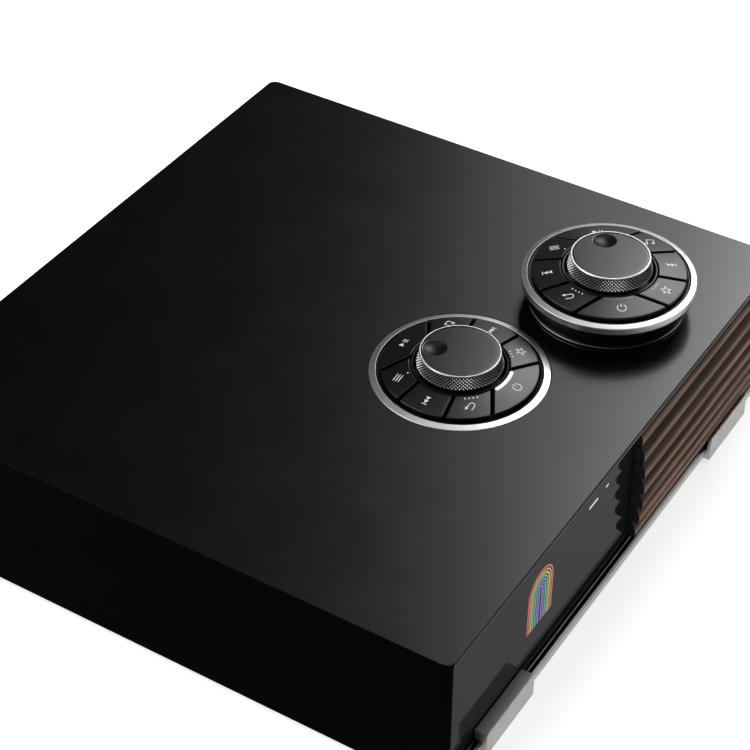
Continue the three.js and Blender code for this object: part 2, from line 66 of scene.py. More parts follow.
COVER_LOW, COVER_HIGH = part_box("top_cover")
TOP_Z = COVER_HIGH.z
RING_CROWN = 0.74 * MM  # rise of a ring from its outer to its inner edge
RING_LOW, RING_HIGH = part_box("dial_ring")
DIAL_R = (RING_HIGH.x - RING_LOW.x) / 2
DIAL_CENTRE = middle(RING_LOW, RING_HIGH, TOP_Z)
PUCK_LOW, PUCK_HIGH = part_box("remote_ring")
PUCK_R = (PUCK_HIGH.x - PUCK_LOW.x) / 2
PUCK_CENTRE = middle(PUCK_LOW, PUCK_HIGH, PUCK_HIGH.z - RING_CROWN)
PUCK_TURN = math.radians(-52)  # how the remote stands, against the controller

# the record's openings are this much smaller than the pockets that they stand for, on each side
OPENING_MARGIN = 0.3 * MM
OPENINGS = {opening["name"]: opening["box_m"] for opening in frame["record"]["physics"]["openings"]}

# ---- mesh helpers ----


def add_object(name, data):
    obj = bpy.data.objects.new(name, data)
    bpy.context.scene.collection.objects.link(obj)
    return obj


def mesh_object(bm, name):
    """An object that takes over a bmesh just as it is."""
    mesh = bpy.data.meshes.new(name)
    bm.to_mesh(mesh)
    bm.free()
    return add_object(name, mesh)


def polar(r, a, z=0.0):
    """The point at a distance and in a direction from the origin, at height z."""
    return Vector((r * math.cos(a), r * math.sin(a), z))


def finish_mesh(bm, name, sharp=32):
    """A smooth-shaded object from a bmesh, with edges sharper than an angle kept crisp."""
    bmesh.ops.remove_doubles(bm, verts=bm.verts, dist=1e-7)
    bmesh.ops.recalc_face_normals(bm, faces=bm.faces)
    limit = math.radians(sharp)
    for face in bm.faces:
        face.smooth = True
    for edge in bm.edges:
        edge.smooth = len(edge.link_faces) == 2 and edge.calc_face_angle(0) < limit
    return mesh_object(bm, name)


def rounded(points, radius, steps=4):
    """A closed outline with every corner replaced by an arc. radius is one value or one per point."""
    nearly_straight = math.radians(88)
    longest_share = 0.48  # of each neighbouring side, that an arc may take up
    count = len(points)
    radii = radius if isinstance(radius, (list, tuple)) else [radius] * count
    out = []
    for i, (point, r) in enumerate(zip(points, radii)):
        here = Vector(point)
        before = Vector(points[i - 1]) - here
        after = Vector(points[(i + 1) % count]) - here
        if r <= 0 or before.length < 1e-9 or after.length < 1e-9:
            out.append(here)
            continue
        a, b = before.normalized(), after.normalized()
        half = a.angle(b) / 2
        if half > nearly_straight:
            out.append(here)
            continue
        reach = min(r / math.tan(half), longest_share * before.length, longest_share * after.length)
        r = reach * math.tan(half)
        centre = here + (a + b).normalized() * (r / math.sin(half))
        start, end = here + a * reach - centre, here + b * reach - centre
        turn = start.angle_signed(end)
        for k in range(steps + 1):
            angle = -turn * k / steps
            c, s = math.cos(angle), math.sin(angle)
            out.append(centre + Vector((start.x * c - start.y * s, start.x * s + start.y * c)))
    return [(p.x, p.y) for p in out]


def lathe(name, profile, centre, segments=128):
    """A closed (radius, height) profile turned about a vertical axis through centre."""
    bm = bmesh.new()
    rings = []
    for r, z in profile:
        if r < 1e-9:
            rings.append([bm.verts.new(centre + Vector((0, 0, z)))] * segments)
            continue
        angles = [TAU * i / segments for i in range(segments)]
        rings.append([bm.verts.new(centre + polar(r, a, z)) for a in angles])
    for k, low in enumerate(rings):
        high = rings[(k + 1) % len(rings)]
        for i in range(segments):
            j = (i + 1) % segments
            corners = list(dict.fromkeys((low[i], low[j], high[j], high[i])))
            if len(corners) > 2:
                bm.faces.new(corners)
    return finish_mesh(bm, name)


def band(bm, ring, following):
    """Faces between two closed rings of as many points."""
    for i in range(len(ring)):
        j = (i + 1) % len(ring)
        bm.faces.new((ring[i], ring[j], following[j], following[i]))


def prism(name, outline, low, high, to_world=Matrix.Identity(4), bevel=0.0):
    """An outline in a local XY plane raised from low to high, its end edges eased by bevel."""
    bm = bmesh.new()
    base = [bm.verts.new((x, y, low)) for x, y in outline]
    top = [bm.verts.new((x, y, high)) for x, y in outline]
    bm.faces.new(base[::-1])
    bm.faces.new(top)
    band(bm, base, top)
    if bevel:
        ends = [e for e in bm.edges if abs(e.verts[0].co.z - e.verts[1].co.z) < 1e-9]
        bmesh.ops.bevel(bm, geom=ends, offset=bevel, segments=3, profile=0.5, affect="EDGES")
    bm.transform(to_world)
    return finish_mesh(bm, name)


def box_mesh(name, low, high):
    """A plain box between two corners."""
    low, high = Vector(low), Vector(high)
    bm = bmesh.new()
    to_world = Matrix.Translation((low + high) / 2) @ Matrix.Diagonal((*(high - low), 1))
    bmesh.ops.create_cube(bm, size=1, matrix=to_world)
    return finish_mesh(bm, name)


def bar_along_x(name, outline, x0, x1, bevel):
    """A (y, z) outline run along X."""
    yz_to_world = Matrix(((0, 0, 1, 0), (1, 0, 0, 0), (0, 1, 0, 0), (0, 0, 0, 1)))
    return prism(name, outline, x0, x1, yz_to_world, bevel)


def subtract(obj, *cutters):
    """Cuts the cutters out of obj and removes them."""
    for cutter in cutters:
        mod = obj.modifiers.new("cut", "BOOLEAN")
        mod.operation = "DIFFERENCE"
        mod.solver = "EXACT"
        mod.object = cutter
    bpy.context.view_layer.update()
    graph = bpy.context.evaluated_depsgraph_get()
    mesh = bpy.data.meshes.new_from_object(obj.evaluated_get(graph))
    obj.modifiers.clear()
    obj.data = mesh
    for cutter in cutters:
        bpy.data.objects.remove(cutter)


def ease_edges(obj, width, angle=35, segments=3):
    """Rounds the sharp edges of a finished shape and keeps its flat faces flat."""
    weld = obj.modifiers.new("weld", "WELD")
    weld.merge_threshold = 1e-6
    mod = obj.modifiers.new("ease", "BEVEL")
    mod.width = width
    mod.segments = segments
    mod.limit_method = "ANGLE"
    mod.angle_limit = math.radians(angle)
    mod.harden_normals = True
    for polygon in obj.data.polygons:
        polygon.use_smooth = True


def place(obj, body, material, replaces=()):
    """Gives a piece its material and its body, and hides the CAD nodes that it stands for."""
    if not obj.modifiers:
        flat = obj.modifiers.new("flat faces", "WEIGHTED_NORMAL")
        flat.keep_sharp = True
        flat.weight = 100  # the largest faces alone set the normals
    obj.data.materials.clear()
    for m in material if isinstance(material, (list, tuple)) else [material]:
        obj.data.materials.append(m)
    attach(obj, body)
    if replaces:
        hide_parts(*replaces)


# ---- material helpers ----

NOISE_LOW, NOISE_HIGH = 0.3, 0.7  # the span that most of a noise's values lie in


def times(color, factor):
    return tuple(min(1, c * factor) for c in color)


class Shade:
    """A material's node tree, with the few nodes that the materials below are made of."""

    def __init__(self, name, color, roughness, metallic=0.0, specular=0.5, emission=0.0):
        self.material = bpy.data.materials.new(name)
        self.material.use_nodes = True
        self.tree = self.material.node_tree
        self.shader = self.tree.nodes["Principled BSDF"]
        for socket, value in (("Base Color", (*color, 1)), ("Roughness", roughness), ("Metallic", metallic),
                              ("Specular IOR Level", specular), ("Emission Strength", emission)):
            self.shader.inputs[socket].default_value = value
        self.coords = self.tree.nodes.new("ShaderNodeTexCoord").outputs["Object"]
        self.normal = None

    def link(self, a, b):
        self.tree.links.new(a, b)

    def node(self, kind, **inputs):
        """A node whose inputs are set to values or linked to other nodes' outputs."""
        node = self.tree.nodes.new("ShaderNode" + kind)
        for name, value in inputs.items():
            socket = node.inputs[name.replace("_", " ")]
            if isinstance(value, bpy.types.NodeSocket):
                self.link(value, socket)
            else:
                socket.default_value = value
        return node

    def scaled(self, x, y, z):
        return self.node("Mapping", Vector=self.coords, Scale=(x, y, z)).outputs["Vector"]

    def noise(self, scale, detail=2.0, roughness=0.5, vector=None, distortion=0.0):
        return self.node("TexNoise", Vector=vector or self.coords, Scale=scale, Detail=detail,
                         Roughness=roughness, Distortion=distortion).outputs["Fac"]

    def marked(self, name):
        """A value that the mesh holds at its points."""
        node = self.node("Attribute")
        node.attribute_name = name
        return node.outputs["Fac"]

    def span(self, value, low, high):
        """A noise's usual span, NOISE_LOW to NOISE_HIGH, taken to low to high."""
        return self.node("MapRange", Value=value, From_Min=NOISE_LOW, From_Max=NOISE_HIGH, To_Min=low,
                         To_Max=high).outputs["Result"]

    def colors(self, value, *stops):
        node = self.node("ValToRGB", Fac=value)
        ramp = node.color_ramp
        while len(ramp.elements) < len(stops):
            ramp.elements.new(0.5)
        for element, (at, color) in zip(ramp.elements, stops):
            element.position = at
            element.color = (*color, 1)
        return node.outputs["Color"]

    def two_tone(self, value, darker, lighter):
        return self.colors(value, (NOISE_LOW, darker), (NOISE_HIGH, lighter))

    def multiply(self, factor, a, b):
        """Colour a darkened by colour b, as far as factor says."""
        node = self.node("Mix")
        node.data_type = "RGBA"
        node.blend_type = "MULTIPLY"
        node.inputs[0].default_value = factor
        for color, socket in zip((a, b), [s for s in node.inputs if s.type == "RGBA"]):
            self.link(color, socket)
        return next(s for s in node.outputs if s.type == "RGBA")

    def bump(self, height, strength, distance):
        node = self.node("Bump", Height=height, Strength=strength, Distance=distance)
        if self.normal:
            self.link(self.normal, node.inputs["Normal"])
        self.normal = node.outputs["Normal"]
        self.link(self.normal, self.shader.inputs["Normal"])

    def color(self, value):
        self.link(value, self.shader.inputs["Base Color"])

    def roughness(self, value):
        self.link(value, self.shader.inputs["Roughness"])


def moulded(name, color, roughness, grain=2600, strength=0.12, spread=0.05, variation=0.12, specular=0.5):
    """Moulded plastic or paint: a fine spark texture, and slow changes of tone and gloss."""
    s = Shade(name, color, roughness, specular=specular)
    s.roughness(s.span(s.noise(45, 3, 0.6), roughness - spread, roughness + spread))
    s.color(s.two_tone(s.noise(160, 4, 0.6), times(color, 1 - variation), times(color, 1 + variation)))
    s.bump(s.noise(grain, 2, 0.5), strength, 0.02 * MM)
    return s.material


def satin_metal(name, color, roughness, along=(1, 1, 1), strength=0.06):
    """Metal with a fine drawn or bead-blasted grain. along stretches the grain on each axis."""
    s = Shade(name, color, roughness, 1.0)
    grain = s.noise(2200, 3, 0.55, s.scaled(*along))
    s.roughness(s.span(grain, roughness - 0.06, roughness + 0.06))
    s.color(s.two_tone(s.noise(90, 4, 0.6), times(color, 0.9), times(color, 1.06)))
    s.bump(grain, strength, 0.01 * MM)
    return s.material


def wood(name):
    """Oiled walnut with its grain along X, darkened towards the grooves marked on the mesh by painted shade.
    """
    s = Shade(name, (0.15, 0.10, 0.072), 0.5, specular=0.05)
    bands = s.noise(26, 5, 0.62, s.scaled(1, 9, 9), 0.6)
    fibres = s.noise(420, 4, 0.65, s.scaled(0.045, 1, 1))
    pores = s.noise(1500, 2, 0.5, s.scaled(0.03, 1, 1))
    tone = s.colors(bands, (0.30, (0.115, 0.073, 0.050)), (0.52, (0.175, 0.113, 0.080)),
                    (0.72, (0.24, 0.158, 0.114)))
    dark = s.colors(fibres, (0.34, (0.55, 0.5, 0.48)), (0.62, (1.05, 1.03, 1.02)))
    tone = s.multiply(0.75, tone, dark)
    pits = s.colors(pores, (0.30, (0.45, 0.4, 0.38)), (0.42, (1, 1, 1)))
    tone = s.multiply(0.6, tone, pits)
    # painted shade: the slopes darken towards each groove, where the slat above shades them
    groove_shade = s.colors(s.marked("groove"), (0.0, (1, 1, 1)), (0.3, (0.28, 0.19, 0.14)),
                     (1.0, (0.05, 0.03, 0.02)))
    s.color(s.multiply(1.0, tone, groove_shade))
    s.roughness(s.span(fibres, 0.62, 0.46))
    s.bump(fibres, 0.35, 0.06 * MM)
    s.bump(pores, 0.3, 0.05 * MM)
    return s.material


def lit(name, color, strength, base=(0.02, 0.02, 0.02)):
    """A glowing mark, its light a little uneven as light from a guide is; on the key legends the glow is
    painted light.
    """
    s = Shade(name, base, 0.4, emission=strength)
    uneven = s.two_tone(s.noise(350, 2, 0.5), times(color, 0.85), color)
    s.link(uneven, s.shader.inputs["Emission Color"])
    return s.material


def knurled(name, color, roughness):
    """Metal whose hollows, marked on the mesh, are darkened by painted shade."""
    s = Shade(name, color, roughness, 1.0)
    # painted shade: the hollows turn nearly black
    s.color(s.colors(s.marked("valley_shade"), (0.1, color), (0.7, times(color, 0.06))))
    s.roughness(s.span(s.noise(1800, 2), roughness - 0.05, roughness + 0.08))
    return s.material


PAINT = moulded("paint_black", (0.0011, 0.0011, 0.0012), 0.225, grain=4200, strength=0.03, spread=0.012)
# a darker, almost unreflecting copy of the black paint for the side walls: painted shade
SIDE_PAINT_SHADED = moulded("paint_side_shaded", (0.0007, 0.0007, 0.0008), 0.5, grain=3000, strength=0.1,
                     specular=0.004)
# a copy of the black paint for the cover's front faces and its groove's back wall, paler but almost without
# gloss, so they look darker: painted shade
FRONT_SHADED = moulded("paint_front_edge_shaded", (0.003, 0.003, 0.0032), 0.3, grain=3000, strength=0.05,
               specular=0.06)
PLATE = moulded("plate_black", (0.006, 0.006, 0.0065), 0.55, strength=0.2, specular=0.25)
PLASTIC = moulded("plastic_black", (0.004, 0.0038, 0.0038), 0.6, strength=0.2, specular=0.2)
SILVER = satin_metal("silver_satin", (0.42, 0.41, 0.40), 0.42, (0.12, 1, 1))
RING = satin_metal("ring_metal", (0.66, 0.65, 0.65), 0.36, strength=0.03)
KEY = moulded("key_satin", (0.003, 0.003, 0.0031), 0.3, grain=3400, strength=0.05, spread=0.02,
              specular=0.4)
KNURL = knurled("knurl_metal", (0.66, 0.66, 0.66), 0.31)
KNOB_FACE = moulded("knob_face", (0.006, 0.006, 0.0062), 0.27, grain=3400, strength=0.04, spread=0.02)
# a darker, duller copy of the knob's face for its dimple: painted shade
DIMPLE_SHADED = moulded("knob_dimple_shaded", (0.004, 0.004, 0.0042), 0.34, grain=3400, strength=0.04,
                 specular=0.22)
WELL = moulded("well_black", (0.0016, 0.0016, 0.0017), 0.42, strength=0.05, specular=0.14)
SHELL = moulded("shell_black", (0.003, 0.003, 0.0032), 0.3, strength=0.05, specular=0.35)
RUBBER = moulded("rubber_black", (0.008, 0.008, 0.008), 0.8, grain=1800, strength=0.4)
GLASS = moulded("window_smoked", (0.011, 0.0105, 0.0105), 0.035, grain=60, strength=0.0, spread=0.01,
                specular=0.019)
WALNUT = wood("walnut_oiled")
# pale print with a faint glow: on the keys' legends the glow is painted light, on the display's bar and dot
# it is the display's own light
PRINT_GLOW = lit("legend_print_glow", (0.9, 0.9, 0.9), 0.3, (0.55, 0.55, 0.55))
LIGHT = lit("light_arc", (1, 0.99, 0.97), 1.0)
UNLIT = moulded("light_arc_off", (0.10, 0.092, 0.115), 0.35)
STEEL = satin_metal("steel_turned", (0.5, 0.5, 0.52), 0.3)
BOARD = moulded("board_green", (0.01, 0.075, 0.03), 0.4, grain=900, strength=0.5, variation=0.4)
POWER_PARTS = moulded("power_parts", (0.16, 0.11, 0.035), 0.5, grain=700, strength=0.6, variation=0.4)
SINK = satin_metal("sink_extruded", (0.4, 0.4, 0.41), 0.4, (1, 0.1, 1))
SOCKET = moulded("socket_black", (0.014, 0.014, 0.015), 0.5)
PLATED = satin_metal("socket_plated", (0.46, 0.44, 0.40), 0.3)
SHIELD = satin_metal("socket_shield", (0.5, 0.5, 0.51), 0.3)
NUT_BLACK = moulded("nut_black", (0.012, 0.012, 0.012), 0.25)
NUT_RED = moulded("nut_red", (0.30, 0.012, 0.012), 0.25)
INSERT_RED = moulded("insert_red", (0.35, 0.015, 0.012), 0.35)
INSERT_WHITE = moulded("insert_white", (0.55, 0.55, 0.53), 0.35)
BATTERY = moulded("battery_wrap", (0.03, 0.09, 0.2), 0.3)
DISPLAY = moulded("display_face", (0.01, 0.012, 0.016), 0.2)

# ---- camera, light and floor ----

CAMERA_OFFSET = Vector((-643.3, -354.8, 611.3)) * MM  # from the centre of the controller in the top
CAMERA_HEADING = math.radians(58.19)  # clockwise from +Y, seen from above
CAMERA_PITCH = math.radians(39.93)  # downwards
CAMERA_ROLL = math.radians(0.23)
CAMERA_LENS = 103.23  # mm, on a 36 mm wide frame
LIGHTS_AIM = Vector((0, 0, 0.05))  # inside the case
FLOOR_REACH = 6  # metres from the middle to each edge


def make_camera():
    data = bpy.data.cameras.new("camera")
    data.sensor_width = 36
    data.lens = CAMERA_LENS
    data.clip_start = 0.01
    data.clip_end = 50
    camera = add_object("camera", data)
    turn = (Matrix.Rotation(-CAMERA_HEADING, 4, "Z")
            @ Matrix.Rotation(math.pi / 2 - CAMERA_PITCH, 4, "X")
            @ Matrix.Rotation(CAMERA_ROLL, 4, "Z"))
    camera.matrix_world = Matrix.Translation(DIAL_CENTRE + CAMERA_OFFSET) @ turn
    bpy.context.scene.camera = camera


def softbox(name, headings, heights, distance, radiance):
    """A large area light that fills a span of headings and a span of heights, both in degrees.

    Headings run clockwise from +Y and heights start at the horizon, both seen from the lights' aim.
    """
    heading, height = math.radians(sum(headings) / 2), math.radians(sum(heights) / 2)
    data = bpy.data.lights.new(name, "AREA")
    data.shape = "RECTANGLE"
    data.size = 2 * distance * math.tan(math.radians(headings[1] - headings[0]) / 2) * math.cos(height)
    data.size_y = 2 * distance * math.tan(math.radians(heights[1] - heights[0]) / 2)
    data.energy = radiance * math.pi * data.size * data.size_y
    light = add_object(name, data)
    away = Vector((math.sin(heading) * math.cos(height), math.cos(heading) * math.cos(height),
                   math.sin(height)))
    light.location = LIGHTS_AIM + away * distance
    light.rotation_euler = away.to_track_quat("Z", "Y").to_euler()
    light.visible_camera = False


def make_studio():
    """Plain soft lights all round, which the camera doesn't see, and a faint even glow."""
    world = bpy.data.worlds.new("studio")
    world.use_nodes = True
    background = world.node_tree.nodes["Background"]
    background.inputs["Color"].default_value = (1, 1, 1, 1)
    background.inputs["Strength"].default_value = 0.015
    bpy.context.scene.world = world
    bpy.context.scene.view_settings.view_transform = "Standard"
    softbox("light_right", (71, 97), (26, 60), 5.0, 6.6)
    softbox("light_right_edge", (63, 71), (14, 47), 5.2, 1.45)
    softbox("light_above", (5, 105), (66, 84), 5.0, 1.2)
    softbox("light_left", (290, 345), (22, 62), 5.0, 4.0)
    softbox("light_camera_side", (200, 280), (35, 60), 5.0, 0.3)
    softbox("light_front", (105, 150), (10, 42), 5.0, 2.0)


def make_floor():
    """A pale floor that glows a little, so that it runs out to white as in the photo."""
    bm = bmesh.new()
    bmesh.ops.create_grid(bm, x_segments=1, y_segments=1, size=FLOOR_REACH)
    floor = finish_mesh(bm, "floor")
    s = Shade("floor_pale", (0.92, 0.92, 0.92), 0.8, emission=0.6)
    s.shader.inputs["Emission Color"].default_value = (1, 1, 1, 1)
    s.color(s.two_tone(s.noise(3, 3), (0.91, 0.91, 0.91), (0.93, 0.93, 0.93)))
    floor.data.materials.append(s.material)


make_camera()
make_studio()
make_floor()

# ---- case ----

GAP = 0.3 * MM  # between parts that are stacked or set side by side


def make_cover():
    """The top and side walls in one shell, with a groove along the front and a hole for the controller."""
    wall, sheet, corner = 3.0 * MM, 3.2 * MM, 4 * MM
    groove_top = TOP_Z - 0.7 * MM
    groove_height, groove_depth = 1.0 * MM, 1.2 * MM
    hole_r = DIAL_R + 0.3 * MM
    far = 0.05  # how far the cutters reach past the cover
    low, high = COVER_LOW, COVER_HIGH
    outline = rounded([(low.x, low.y), (high.x, low.y), (high.x, high.y), (low.x, high.y)], corner, 8)
    cover = prism("cover", outline, low.z, high.z)
    hollow = box_mesh("hollow", (low.x + wall, low.y - far, low.z - far),
                      (high.x - wall, high.y + far, TOP_Z - sheet))
    groove = box_mesh("groove", (low.x - far, low.y - far, groove_top - groove_height),
                      (high.x + far, low.y + groove_depth, groove_top))
    hole = lathe("hole", [(0, -far), (hole_r, -far), (hole_r, far), (0, far)], DIAL_CENTRE, 160)
    subtract(cover, hollow, groove, hole)
    ease_edges(cover, 0.35 * MM)
    place(cover, "console", [PAINT, SIDE_PAINT_SHADED, FRONT_SHADED], ["top_cover"])
    # the top gets the paint, the front faces and the side walls get darker copies of it: painted shade
    for polygon in cover.data.polygons:
        front = polygon.normal.y < -0.5 and polygon.center.z > TOP_Z - sheet
        polygon.material_index = 0 if polygon.normal.z > 0.5 else 2 if front else 1


def oblong(width, height, radius):
    """A rectangle about the origin with rounded corners."""
    x, y = width / 2, height / 2
    return rounded([(-x, -y), (x, -y), (x, y), (-x, y)], radius, 6)


def screw(name, to_world):
    """A domed screw head with a cross recess, standing up from a surface."""
    radius, height, seat = 2.6 * MM, 1.1 * MM, 0.3 * MM
    recess_depth, recess_length, recess_width = 0.7 * MM, 3.0 * MM, 0.56 * MM
    head = lathe(name, [(0, -seat), (radius, -seat), (radius, 0.25 * MM), (radius * 0.8, 0.8 * MM),
                        (radius * 0.45, height), (0, height)], Vector(), 40)
    cross = [prism(name + part, oblong(w, h, 0.1 * MM), height - recess_depth, height + recess_depth)
             for part, w, h in (("_a", recess_length, recess_width), ("_b", recess_width, recess_length))]
    subtract(head, *cross)
    head.data.transform(to_world)
    place(head, "console", STEEL)


def make_lip():
    """The metal strip under the front, with a groove along its top whose faces are black: painted shade."""
    low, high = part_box("front_lip")
    strip, groove, ridge = 1.6 * MM, 1.8 * MM, 0.5 * MM  # from front to back
    depth, fall = 2.5 * MM, 0.55 * MM  # of the groove, and of the strip towards the front
    soft = 0.18 * MM
    groove_y, ridge_y = low.y + strip, low.y + strip + groove
    back_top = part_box("display_glass")[0].z - GAP
    outline = rounded(
        [(low.y, low.z), (high.y, low.z), (high.y, back_top), (ridge_y + ridge, back_top),
         (ridge_y + ridge, high.z), (ridge_y, high.z), (ridge_y, high.z - depth),
         (groove_y, high.z - depth), (groove_y, high.z), (low.y, high.z - fall)],
        [0.5 * MM, 0, 0, 0, soft, soft, 0, 0, soft, 0.35 * MM])
    lip = bar_along_x("front_trim", outline, low.x, high.x, 0.1 * MM)
    place(lip, "console", [SILVER, PLASTIC], ["front_lip"])
    reach = 0.01 * MM
    for polygon in lip.data.polygons:
        y, z = polygon.center.y, polygon.center.z
        # the groove's faces get black plastic: painted shade in the recess
        inside = groove_y - reach < y < ridge_y + reach and z < high.z - 0.3 * MM
        polygon.material_index = 1 if inside and abs(polygon.normal.x) < 0.5 else 0


def make_foot(side):
    """A runner: a bar under the case with a raised head in front of the lip, on two rubber pads."""
    node = "runner_foot_" + side
    low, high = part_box(node)
    bar_top = low.z + 2.7 * MM
    head = low.y + 1.9 * MM
    pad_depth = 0.35 * MM
    if side == "left":  # a ledge closes the gap to the window
        ledge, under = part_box("display_glass")[0].y - GAP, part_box("front_lip")[1].z + GAP
        back = [(head, bar_top), (head, under), (ledge, under), (ledge, high.z)]
        ease = [0.3 * MM, 0, 0, 0.3 * MM]
    else:
        back = [(head, bar_top), (head, high.z)]
        ease = [0.3 * MM, 0.5 * MM]
    base = low.z + pad_depth
    outline = rounded([(low.y, base), (high.y, base), (high.y, bar_top)] + back + [(low.y, high.z)],
                      [0.8 * MM, 0.8 * MM, 0.6 * MM] + ease + [0.7 * MM])
    foot = bar_along_x("runner_" + side, outline, low.x, high.x, 0.5 * MM)
    place(foot, "console", SILVER, [node])
    for share in (0.08, 0.92):
        at = Matrix.Translation(((low.x + high.x) / 2, low.y + (high.y - low.y) * share, 0))
        pad = prism(f"runner_pad_{side}_{int(share * 100)}", oblong(26 * MM, 12 * MM, 4 * MM),
                    low.z, low.z + 2 * pad_depth, at, 0.1 * MM)
        place(pad, "console", RUBBER)


def make_bottom():
    """The bottom plate with two fields of vent slots and its screws."""
    low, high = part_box("bottom_plate")
    plate = box_mesh("base_plate", low, high)
    far = 0.01
    slot, first, pitch, count = oblong(52 * MM, 3 * MM, 1.5 * MM), 60 * MM, 12 * MM, 12
    slots = [prism(f"slot_{field_x}_{k}", slot, low.z - far, high.z + far,
                   Matrix.Translation((field_x, low.y + first + pitch * k, 0)))
             for field_x in (-50 * MM, 50 * MM) for k in range(count)]
    subtract(plate, *slots)
    ease_edges(plate, 0.2 * MM, 50, 2)
    place(plate, "console", PLATE, ["bottom_plate"])
    downwards = Matrix.Rotation(math.pi, 4, "X")
    for x in (low.x + 8 * MM, 0, high.x - 8 * MM):
        for y in (low.y + 12 * MM, high.y - 10 * MM):
            at = Matrix.Translation((x, y, low.z)) @ downwards
            screw(f"base_screw_{round(x / MM)}_{round(y / MM)}", at)


def make_slats():
    """Seven wooden slats with eased noses and sealed dark ends."""
    for i in range(1, 8):
        node = f"slat_{i}"
        low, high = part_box(node)
        nose, back = low.y, high.y
        groove = nose + 2.1 * MM
        flat_top, flat_bottom = high.z - 4.6 * MM, low.z + 0.7 * MM
        outline = rounded(
            [(back, high.z), (groove, high.z), (nose, flat_top), (nose, flat_bottom), (groove, low.z),
             (back, low.z)],
            [0, 0.15 * MM, 0.5 * MM, 0.4 * MM, 0.1 * MM, 0], 5)
        slat = bar_along_x(f"wood_slat_{i}", outline, low.x, high.x, 0.12 * MM)
        # the groove mark, 0 at the nose and 1 at the groove, sets how much painted shade the walnut gets
        depth = slat.data.attributes.new("groove", "FLOAT", "POINT")
        for vertex in slat.data.vertices:
            depth.data[vertex.index].value = min(1, max(0, (vertex.co.y - nose) / (groove - nose)))
        place(slat, "console", [WALNUT, PLASTIC], [node])
        for polygon in slat.data.polygons:
            polygon.material_index = 1 if abs(polygon.normal.x) > 0.9 else 0


def make_display():
    """Marks on the window: a generic set of coloured arches, a short bar and a dot."""
    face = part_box("display_glass")[0].y
    proud = 0.05 * MM
    to_world = Matrix(((1, 0, 0, 0), (0, 0, -1, face), (0, 1, 0, 0), (0, 0, 0, 1)))
    hues = ((0.64, 0.10, 0.08), (0.75, 0.28, 0.06), (0.70, 0.56, 0.12), (0.16, 0.48, 0.14),
            (0.07, 0.40, 0.45), (0.11, 0.20, 0.60), (0.36, 0.17, 0.55))
    outer, leg, pitch, width = 10.8 * MM, 20 * MM, 1.53 * MM, 0.85 * MM
    at = to_world @ Matrix.Translation((-73 * MM, TOP_Z - 29.5 * MM, 0))
    for k, hue in enumerate(hues):
        r = outer - k * pitch
        inner = r - width
        outline = ([(r, -leg)] + arc(r, 0, 180, 40) + [(-r, -leg), (-inner, -leg)]
                   + arc(inner, 180, 0, 40) + [(inner, -leg)])
        arch = prism(f"display_arch_{k + 1}", outline, 0, proud, at)
        place(arch, "console", lit(f"display_hue_{k + 1}", hue, 0.55, times(hue, 0.2)))
    for name, x, below, length, height in (("display_bar", -27.5, 17.7, 8.0, 1.3),
                                           ("display_dot", -15.0, 17.0, 2.6, 1.1)):
        mark = prism(name, oblong(length * MM, height * MM, 0.4 * MM), 0, proud,
                     to_world @ Matrix.Translation((x * MM, TOP_Z - below * MM, 0)))
        place(mark, "console", PRINT_GLOW)


make_cover()
make_lip()
make_foot("left")
make_foot("right")
make_slats()
make_bottom()

# ---- controller ----

RING_INNER = 37.4 * MM
LINER_R = 36.8 * MM  # the wall round the keys
COLLAR_R = 21.9 * MM  # the wall between the keys and the knob
WELL_HOLE_R = 4 * MM
KEY_INNER = 22.3 * MM
KEY_OUTER = 35.5 * MM
KEY_INNER_TOP = 4.4 * MM  # the keys slope down from the knob to the ring
KEY_OUTER_TOP = 2.4 * MM
KEY_BOTTOM = -1.2 * MM
KEY_SLIT = 1.4 * MM
SLIT_UNIT = 40.6  # mm, the unit of the two slits' ends below
STEEP_SLIT = ((0.225, 0.535), (0.503, 0.692))
FLAT_SLIT = ((0.53, 0.225), (0.80, 0.275))
KEY_NAMES = ("star", "next", "source", "play", "menu", "previous", "back", "power")
# directions of the keys' symbols and of their rows of dots, in degrees, in the order of KEY_NAMES
SYMBOL_ANGLES = (-39.5, 0, 39.5, 90, 140.5, 180, 219.5, 270)
DOT_ANGLES = (-42, 0, 42, 90, 138, 180, 222, 270)
DOT_COUNTS = {"menu": 1, "source": 2, "star": 3, "back": 4}


def mirrored(slit, sx, sy):
    return [Vector((x * sx, y * sy)) * SLIT_UNIT * MM for x, y in slit]


SLITS = [mirrored(slit, sx, sy) for sx, sy, pair in (
    (1, -1, (STEEP_SLIT, FLAT_SLIT)), (1, 1, (FLAT_SLIT, STEEP_SLIT)),
    (-1, 1, (STEEP_SLIT, FLAT_SLIT)), (-1, -1, (FLAT_SLIT, STEEP_SLIT))) for slit in pair]


def crossing_angle(slit, shift, radius):
    """The direction in which a slit's edge, moved sideways by shift, crosses a circle."""
    along = (slit[1] - slit[0]).normalized()
    start = slit[0] + Vector((-along.y, along.x)) * shift
    middle = start.dot(along)
    reach = -middle + math.sqrt(middle ** 2 - start.length_squared + radius ** 2)
    point = start + along * reach
    return math.atan2(point.y, point.x)


